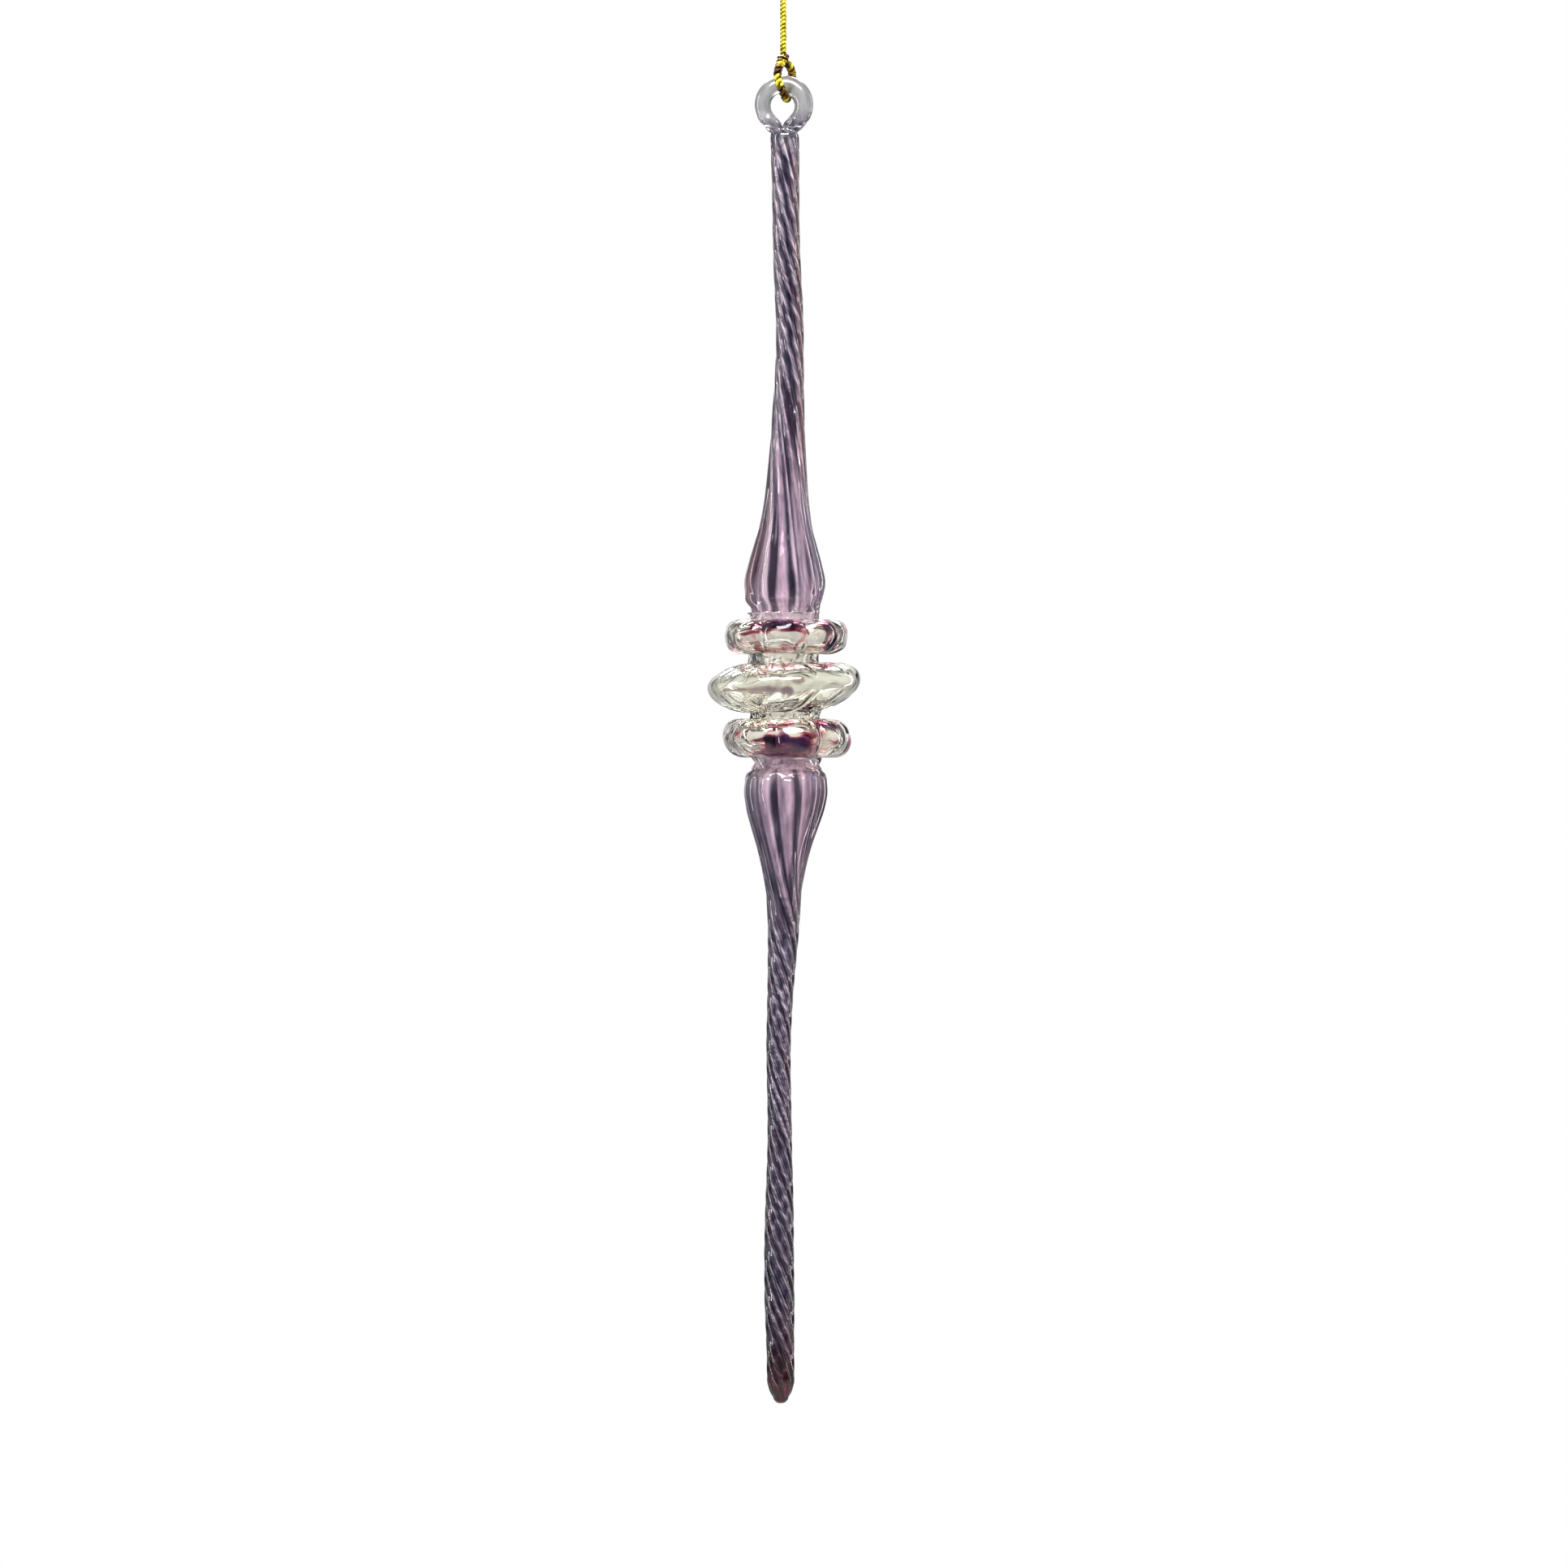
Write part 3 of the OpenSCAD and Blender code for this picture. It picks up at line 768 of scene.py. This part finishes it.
def upper_spindle():
    """Twisted stem that swells to the upper bulb."""
    top, bottom = ends_of("upper_spindle")
    depths = levels(top, AIR_TOP, bottom, 140, 170)
    turn = turn_of(UPPER, depths[:, 0], 7.4)[:, None]
    turn = turn - turn[-1]
    angle = ANGLES + turn
    deep = smooth([
        (9, 0.0), (12, 0.05), (40, 0.06), (60, 0.085), (70, 0.085), (74, 0.05), (76.9, 0.0),
    ], depths)
    r = smooth(UPPER, depths) * scallop(deep, 0.25, UPPER_PHASE)
    r = r * (1 + wobble(angle, depths, top, 74))
    r = crumpled(depths, angle, r, 5)
    stem = smooth([(9, 0.3), (14, 1), (50, 1), (62, 0.25), (70, 0)], depths)
    tint = smooth([(9, 0.8), (12, 1), (73, 1), (76.9, 0.8)], depths)
    tint = tint + stem * 0.6 * beside(angle, 55, 28) + (1 - stem) * 0.6 * beside(angle, -66, 22)
    tint = tint + rosy_streaks(depths, 23, [(9, 0), (12, 1), (75, 1), (76.9, 0)])
    outside = skin(depths, r, angle, upper_tone(angle, depths, stem), tint, turn)
    inside = air_wall(
        UPPER_AIR, np.linspace(bottom, AIR_TOP, 110)[:, None], depths, turn, UPPER_PHASE, 0.62)
    glass_piece(
        "upper_spindle", [(outside, amethyst), (inside, amethyst)], "cap", "point")


def lower_spindle():
    """Lower bulb that draws down to the long twisted rod. Gives back the turn at its end."""
    top, bottom = ends_of("lower_spindle")
    depths = levels(top, AIR_END, bottom, 120, 230)
    turn = turn_of(LOWER, depths[:, 0], 12.0)[:, None]
    angle = ANGLES + turn
    deep = smooth([(99.3, 0.0), (101, 0.06), (104, 0.08), (112, 0.08), (130, 0.06), (186.3, 0.06)], depths)
    alternate = smooth([(99.3, 0.2), (115, 0.3), (128, 0.5), (186, 0.55)], depths)
    r = smooth(LOWER, depths) * scallop(deep, alternate, LOWER_PHASE)
    r = r * (1 + wobble(angle, depths, 103, bottom))
    r = crumpled(depths, angle, r, 6)
    stem = smooth([(99.3, 0), (112, 0.15), (122, 0.8), (130, 1), (186.3, 1)], depths)
    tint = smooth([(99.3, 0.8), (103, 1), (170, 1), (180, 1.3), (186.3, 1.8)], depths)
    tint = tint + 0.3 * beside(angle, 58, 25)
    tint = tint + rosy_streaks(depths, 26, [(99.3, 0), (103, 1), (180, 1), (186.3, 0)])
    outside = skin(depths, r, angle, lower_tone(angle, depths, stem), tint, turn)
    inside = air_wall(LOWER_AIR, np.linspace(AIR_END, top, 90)[:, None], depths, turn, LOWER_PHASE, 0.60)
    glass_piece(
        "lower_spindle", [(inside, amethyst), (outside, amethyst)], "point", "cap")
    return turn[-1, 0]


def sealed_tip(turn):
    """Tip melted shut, with its ribs going on from the rod's, which have turned by turn."""
    top = STARTS["sealed_tip"]
    u = np.linspace(0, 0.985, 60)[:, None]
    depths = top + TIP_LONG * np.sin(u * math.pi / 2)
    twist = turn + np.radians(11) * (depths - top)
    deep = smooth([(0, 0.06), (0.3, 0.05), (0.6, 0.02), (1, 0)], u)
    r = smooth(TIP, u) * scallop(deep, 0.55, LOWER_PHASE)
    angle = ANGLES + twist
    r = r + 0.05 * smooth([(0, 0), (0.3, 1), (0.6, 0.4), (1, 0)], u) * np.sin(2 * angle + 0.6)
    tone = smooth([(0, 0.07), (0.4, 0.06), (0.7, 0.10), (1, 0.0)], u)
    # The rod's lines, with their painted shade and highlights, run on into the tip and fade toward its point
    tone = tone + (rod_streaks(depths) + rod_lines_and_painted_light(angle, depths)) * (1 - u)
    tone = tone + 0.18 * np.sqrt(u) * beside(angle, 25, 9)
    tint = smooth([(0, 1.8), (0.4, 2), (1, 2)], u) + 0.3 * beside(angle, 58, 25)
    outside = skin(depths, r, angle, tone, tint, twist)
    glass_piece("sealed_tip", [(outside, red)], "cap", "point")


def neck(node, material, waist, pigment_and_painted_light, tint):
    """Short pinched tube between two sections. tint is its value at the top and the bottom."""
    top, bottom = ends_of(node)
    depths = np.linspace(top, bottom, 14)[:, None]
    along = (depths - top) / (bottom - top)
    bulge = 1 - (along * 2 - 1) ** 2
    r = crumpled(depths, ANGLES, NECK_R - waist * bulge, FOLDS)
    tone = pigment_and_painted_light + 0.10 * ripple(at_of(4, depths), 3.0, FOLDS + 3)
    tints = tint[0] + (tint[1] - tint[0]) * along
    bore = BORE_R - waist * bulge[::-1]
    glass_piece(node, [
        (skin(depths, r, ANGLES, tone, tints), material),
        (skin(depths[::-1], bore, ANGLES, pigment_and_painted_light + 0.1, tints[::-1]), material),
    ], "join", "join")


def ring(node, slot, material, rim, wall, press, middle, tone_of, lobes=0, dent=0, first=0):
    """Blown disc pressed flat: hollow, with a wavy rim and lobes pinched round it, dent deep between them,
    where first is the angle of one dent in degrees from the front. middle is the depth of its rim. press
    shapes its section above and below the rim: low for boxy, 1 for round and more for pointed."""
    top, bottom = ends_of(node)
    loose = ANGLES + 0.13 * np.sin(ANGLES + 0.9 * FOLDS) + 0.07 * np.sin(2 * ANGLES + FOLDS)
    pinch = FRONT + math.radians(first)
    full = np.abs(np.sin(lobes / 2 * (loose - pinch))) ** 0.5 if lobes else np.ones(ROUND)
    reach = rim * (1 + 0.015 * np.sin(3 * ANGLES + FOLDS)) - dent * (1 - full)

    def face(a, reach, upper, lower, back):
        """Rows at section angles a, from the top neck out round the rim to the bottom one."""
        out = np.cos(a) ** np.where(a < 0, press[0], press[1])
        r = back + (reach - back) * out
        squeezed = (1 - 0.22 * (1 - full) * out) * np.abs(np.sin(a))
        depth = middle + squeezed * np.where(a < 0, upper - middle, lower - middle)
        at = at_of(r, 1.3 * depth)
        depth = depth + 0.06 * out * ripple(at, 4.5, FOLDS)
        pleat = crease(at_of(5.5, 0.35 * r), 3.4, FOLDS + 3) - 0.35
        depth = depth - 0.28 * np.sign(a) * pleat * np.sin(math.pi * np.clip(out, 0, 1)) ** 0.7
        r = crumpled(depth, ANGLES, r, FOLDS, 1 - out) + 0.04 * out * ripple(at, 3.5, FOLDS + 5)
        return r, depth

    t = np.linspace(-1, 1, 130)[:, None]
    a = math.pi / 2 * np.sign(t) * (1 - (1 - np.abs(t)) ** 1.5)
    r, depth = face(a, reach, top, bottom, NECK_R)
    r[0] = crumpled(top, ANGLES, NECK_R, FOLDS)
    r[-1] = crumpled(bottom, ANGLES, NECK_R, FOLDS)
    depth[0], depth[-1] = top, bottom
    outside = skin(depth, r, ANGLES, *tone_of(r, depth))
    r, depth = face(a[::-1], reach - wall, top + wall * 0.8, bottom - wall * 0.8, BORE_R)
    r[0], r[-1] = BORE_R, BORE_R
    depth[0], depth[-1] = bottom, top
    inside = skin(depth, np.maximum(r, BORE_R - 0.3), ANGLES, *tone_of(r, depth))
    glass_piece(node, [(outside, material), (inside, material)], "join", "join")


upper_spindle()
tip_turn = lower_spindle()
sealed_tip(tip_turn)
neck("upper_neck", amethyst, 0.1, 0.45, (0.8, 0.6))
neck("upper_clear_neck", clear, 0.1, 0.5, (0.1, 0.0))
neck("lower_clear_neck", clear, 0.1, 0.5, (0.0, 0.1))
neck("lower_neck", amethyst, 0.2, 0.42, (0.7, 0.8))
ring(
    "upper_ring", "banded_glass", banded, 9.05, 0.6, (0.42, 0.5), 80.0 + 0.15 * np.sin(2 * ANGLES + 2.4),
    upper_ring_tone, lobes=7, dent=1.3, first=17)
ring(
    "centre_ring", "clear_glass", clear, 11.0 - 0.75 * np.sin(ANGLES) ** 2, 0.65,
    (1.05 - 0.6 * np.cos(ANGLES), 1.6 + 0.5 * np.cos(ANGLES)), 87.0 - 0.55 * np.cos(ANGLES), centre_ring_tone)
ring(
    "lower_ring", "banded_glass", banded, 9.3, 0.6, (0.5, 0.55 - 0.1 * np.cos(ANGLES)),
    94.8 + 0.2 * np.cos(ANGLES), lower_ring_tone, lobes=7, dent=1.0, first=-20)


# ---------------------------------------------------------------- glass eye
def remeshed(name, points, faces, voxel, rounds):
    """Voxel skin of overlapping tubes, smoothed. Works in millimetres as if they were metres."""
    mesh = bpy.data.meshes.new(name)
    mesh.from_pydata(np.asarray(points).tolist(), [], faces)
    obj = bpy.data.objects.new(name, mesh)
    bpy.context.scene.collection.objects.link(obj)
    skin_over = obj.modifiers.new("skin", "REMESH")
    skin_over.mode = "VOXEL"
    skin_over.voxel_size = voxel
    relax = obj.modifiers.new("relax", "SMOOTH")
    relax.factor = 0.5
    relax.iterations = rounds
    done = bpy.data.meshes.new_from_object(obj.evaluated_get(bpy.context.evaluated_depsgraph_get()))
    bpy.data.objects.remove(obj)
    return done


def tube(line, radii):
    """Closed tube of changing radius along a line."""
    sides = 40
    t, n, b = frames(line)
    a = np.arange(sides) * 2 * math.pi / sides
    points = (
        line[:, None]
        + n[:, None] * (radii[:, None] * np.cos(a))[..., None]
        + b[:, None] * (radii[:, None] * np.sin(a))[..., None]
    ).reshape(-1, 3)
    faces = tube_faces(len(line), sides)[:, ::-1].tolist()
    faces.append(list(range(sides)))
    faces.append([(len(line) - 1) * sides + k for k in reversed(range(sides))])
    return points, faces


def eye_skin():
    """The bent rod of the eye and the end of the stem that it is welded to, as one smooth skin."""
    middle, flare = 4.3, math.radians(43.3)
    bend = np.linspace(math.pi / 2, -flare, 24)
    right = [(EYE_R * math.cos(t), middle - EYE_R * math.sin(t)) for t in bend]
    legs = [(1.3, 7.2), (0.75, 8.0), (0.5, 8.8)]
    half = right + legs
    path = [(-x, d) for x, d in reversed(half)] + half[1:]
    line = through([(x, 0.12 * math.sin(x), GLASS_TOP - d) for x, d in path], 0.2)
    depth = GLASS_TOP - line[:, 2]
    radii = smooth([(0, 1.33), (3.5, 1.28), (6, 1.18), (8.8, 0.95)], depth)
    points, faces = tube(line, radii * (1 + 0.075 * np.tanh(line[:, 0])))
    stem_depth = np.linspace(7.7, 10.5, 20)
    stem = np.stack([smooth(LEAN, stem_depth), 0 * stem_depth, GLASS_TOP - stem_depth], axis=1)
    stem_r = smooth([(7.7, 0.6), (8.1, 1.6), (8.8, 2.0), (9.4, 2.04), (10.5, 2.04)], stem_depth)
    more, more_faces = tube(stem, stem_r)
    faces += [[k + len(points) for k in f] for f in more_faces]
    return remeshed("eye_skin", np.vstack([points, more]), faces, 0.09, 14)


def cut_out(whole, cuts):
    """Part of a skin, cut level at each (depth, way out) and closed there by faces of material 1."""
    form = bmesh.new()
    form.from_mesh(whole)
    for cut, way in cuts:
        geometry = form.verts[:] + form.edges[:] + form.faces[:]
        bmesh.ops.bisect_plane(
            form, geom=geometry, plane_co=(0, 0, GLASS_TOP - cut), plane_no=(0, 0, way), clear_outer=True)
        rim = [e for e in form.edges if e.is_boundary]
        for f in bmesh.ops.triangle_fill(form, edges=rim, use_beauty=True)["geom"]:
            if isinstance(f, bmesh.types.BMFace):
                f.material_index = 1
    bmesh.ops.recalc_face_normals(form, faces=form.faces)
    return form


def pinched(form):
    """Places of a form's points with the folds of the weld, which meets the stem in a round end."""
    p = np.array([v.co for v in form.verts])
    normals = np.array([v.normal for v in form.verts])
    d = GLASS_TOP - p[:, 2]
    low_down = smooth([(0, 0.02), (4.5, 0.04), (6.3, 0.5), (7.6, 1), (8.9, 0)], d)
    fold = low_down * (0.10 * ripple(p, 1.7, 61) - 0.16 * (crease(p, 2.0, 62) - 0.4))
    move = normals * fold[:, None]
    for cut in ends_of("eye_weld"):
        move[np.abs(d - cut) < 1e-4, 2] = 0
    p = p + move
    meet = smooth([(7.7, 0), (9, 1)], GLASS_TOP - p[:, 2])
    off = p[:, :2] - np.stack([smooth(LEAN, GLASS_TOP - p[:, 2]), 0 * d], axis=1)
    far = np.maximum(np.linalg.norm(off, axis=1), 1e-6)
    p[:, :2] += off * (meet * (far > 1.5) * (WELD_END_R / far - 1))[:, None]
    return p


def eye_and_weld():
    """The bent eye and its weld to the stem are one smooth skin, cut level where the two pieces meet."""
    whole = eye_skin()
    weld_top, weld_end = ends_of("eye_weld")
    for node, cuts in (("glass_eye", [(weld_top, -1)]), ("eye_weld", [(weld_top, 1), (weld_end, -1)])):
        form = cut_out(whole, cuts)
        for v, place in zip(form.verts, pinched(form)):
            v.co = place * MM
        # Cut faces have corners of their own, so that they do not bend the shading of the glass beside them
        bmesh.ops.split(form, geom=[f for f in form.faces if f.material_index == 1])
        p = np.array([v.co for v in form.verts]) / MM
        mesh = bpy.data.meshes.new(node + "_glass")
        form.to_mesh(mesh)
        form.free()
        mesh.materials.append(eye_clear)
        mesh.materials.append(seam)
        mesh.polygons.foreach_set("use_smooth", [f.material_index == 0 for f in mesh.polygons])
        obj = bpy.data.objects.new(node + "_glass", mesh)
        bpy.context.scene.collection.objects.link(obj)
        right_side = 0.5 + 0.5 * np.tanh(1.5 * p[:, 0])
        tinted_from = GLASS_TOP - p[:, 2] + 0.9 * right_side - 0.4
        tint = smooth([(0, 0), (5.2, 0), (7.6, 0.8), (9, 0.85), (10, 0.85)], tinted_from)
        shade = 0.50 - 0.34 * tint + (0.05 + 0.08 * tint) * ripple(p * (1.6, 1.6, 0.7), 1.8, 63)
        store(obj, p * 0.35, shade, tint)
        own(obj, node)


eye_and_weld()

# ---------------------------------------------------------------- light and floor
DARK_GAPS = 4                    # dark gaps round the pale room
DARK_TURN = math.radians(45)     # the first gap lies this far to the left of straight behind the ornament
FLOOR_R = 0.28                   # metres, and so is every size from here on
FLOOR_Z = (GLASS_END - 52) * MM


def from_signed(tree, source):
    """Number from -1 to 1 made into one from 0 to 1."""
    node = add(tree, "ShaderNodeMath", operation="MULTIPLY_ADD")
    node.inputs[1].default_value = 0.5
    node.inputs[2].default_value = 0.5
    tree.links.new(source, node.inputs[0])
    return node.outputs[0]


def times(tree, first, second):
    """Product of two colours."""
    node = add(tree, "ShaderNodeMix", data_type="RGBA", blend_type="MULTIPLY")
    node.inputs["Factor"].default_value = 1.0
    tree.links.new(first, node.inputs["A"])
    tree.links.new(second, node.inputs["B"])
    return node.outputs["Result"]


def room():
    """A pale room with dark gaps, so that glass shows bright bands and dark lines from every side. It is
    dimmer below and toward the camera, which sees plain white straight past the glass."""
    world = bpy.data.worlds.new("studio")
    bpy.context.scene.world = world
    world.use_nodes = True
    tree = world.node_tree
    tree.nodes.clear()
    link = tree.links.new
    place = tree.nodes.new("ShaderNodeTexCoord")
    split = tree.nodes.new("ShaderNodeSeparateXYZ")
    link(place.outputs["Generated"], split.inputs[0])
    round_angle = add(tree, "ShaderNodeMath", operation="ARCTAN2")
    link(split.outputs["X"], round_angle.inputs[0])
    link(split.outputs["Y"], round_angle.inputs[1])
    gaps = add(tree, "ShaderNodeMath", operation="MULTIPLY_ADD")
    link(round_angle.outputs[0], gaps.inputs[0])
    gaps.inputs[1].default_value = DARK_GAPS
    gaps.inputs[2].default_value = DARK_GAPS * DARK_TURN
    wave = add(tree, "ShaderNodeMath", operation="COSINE")
    link(gaps.outputs[0], wave.inputs[0])
    sides = ramp(tree, from_signed(tree, wave.outputs[0]), [
        (0.0, (1.0, 1.0, 1.0)), (0.6, (0.85, 0.85, 0.85)), (0.78, (0.65, 0.65, 0.65)),
        (0.9, (0.12, 0.13, 0.15)), (1.0, (0.08, 0.09, 0.10)),
    ])
    height = ramp(tree, from_signed(tree, split.outputs["Z"]), [
        (0.0, (0.16, 0.16, 0.17)), (0.2, (0.40, 0.40, 0.42)), (0.44, (0.65, 0.66, 0.68)),
        (0.56, (1.0, 1.0, 1.0)), (0.75, (1.0, 1.0, 1.0)), (0.9, (0.6, 0.62, 0.64)),
    ])
    front = ramp(tree, from_signed(tree, split.outputs["Y"]), [
        (0.0, (0.45, 0.45, 0.47)), (0.45, (1.0, 1.0, 1.0)),
    ])
    dimmed = times(tree, height.outputs["Color"], front.outputs["Color"])
    around = add(tree, "ShaderNodeBackground", Strength=1.0)
    link(times(tree, sides.outputs["Color"], dimmed), around.inputs["Color"])
    seen = add(tree, "ShaderNodeBackground", Strength=1.0)
    seen.inputs["Color"].default_value = (1, 1, 1, 1)
    path = tree.nodes.new("ShaderNodeLightPath")
    mix = tree.nodes.new("ShaderNodeMixShader")
    link(path.outputs["Is Camera Ray"], mix.inputs["Fac"])
    link(around.outputs[0], mix.inputs[1])
    link(seen.outputs[0], mix.inputs[2])
    out = tree.nodes.new("ShaderNodeOutputWorld")
    link(mix.outputs[0], out.inputs["Surface"])


def softbox(name, place, wide, high, radiance):
    """Area light aimed at the middle of the ornament."""
    light = bpy.data.lights.new(name, "AREA")
    light.shape = "RECTANGLE"
    light.size, light.size_y = wide, high
    light.energy = radiance * math.pi * wide * high
    obj = bpy.data.objects.new(name, light)
    obj.location = place
    aim = Vector((0, 0, (GLASS_TOP - 95) * MM)) - Vector(place)
    obj.rotation_euler = aim.to_track_quat("-Z", "Y").to_euler()
    bpy.context.scene.collection.objects.link(obj)


def floor():
    """Pale round floor below the hanging ornament, fading out at its edge."""
    material = bpy.data.materials.new("pale_floor")
    tree, shader = nodes_of(material)
    shader.inputs["Base Color"].default_value = (0.45, 0.45, 0.46, 1)
    shader.inputs["Roughness"].default_value = 0.7
    place = tree.nodes.new("ShaderNodeTexCoord")
    far = add(tree, "ShaderNodeVectorMath", operation="LENGTH")
    tree.links.new(place.outputs["Object"], far.inputs[0])
    fade = ramp(tree, far.outputs["Value"], [(0.10, (1, 1, 1)), (FLOOR_R - 0.01, (0, 0, 0))])
    tree.links.new(fade.outputs["Color"], shader.inputs["Alpha"])
    form = bmesh.new()
    bmesh.ops.create_circle(form, cap_ends=True, segments=96, radius=FLOOR_R)
    mesh = bpy.data.meshes.new("floor")
    form.to_mesh(mesh)
    form.free()
    mesh.materials.append(material)
    obj = bpy.data.objects.new("floor", mesh)
    obj.location = (0, 0, FLOOR_Z)
    bpy.context.scene.collection.objects.link(obj)


room()
softbox("top_front", (0, -0.55, 0.45), 0.7, 0.34, 20)
softbox("top_back", (0, 0.55, 0.45), 0.7, 0.22, 12)
softbox("left_strip", (-0.60, -0.12, -0.10), 0.05, 0.6, 16)
softbox("right_strip", (0.60, 0.25, -0.10), 0.05, 0.7, 10)
floor()
bpy.context.scene.view_settings.view_transform = "Standard"
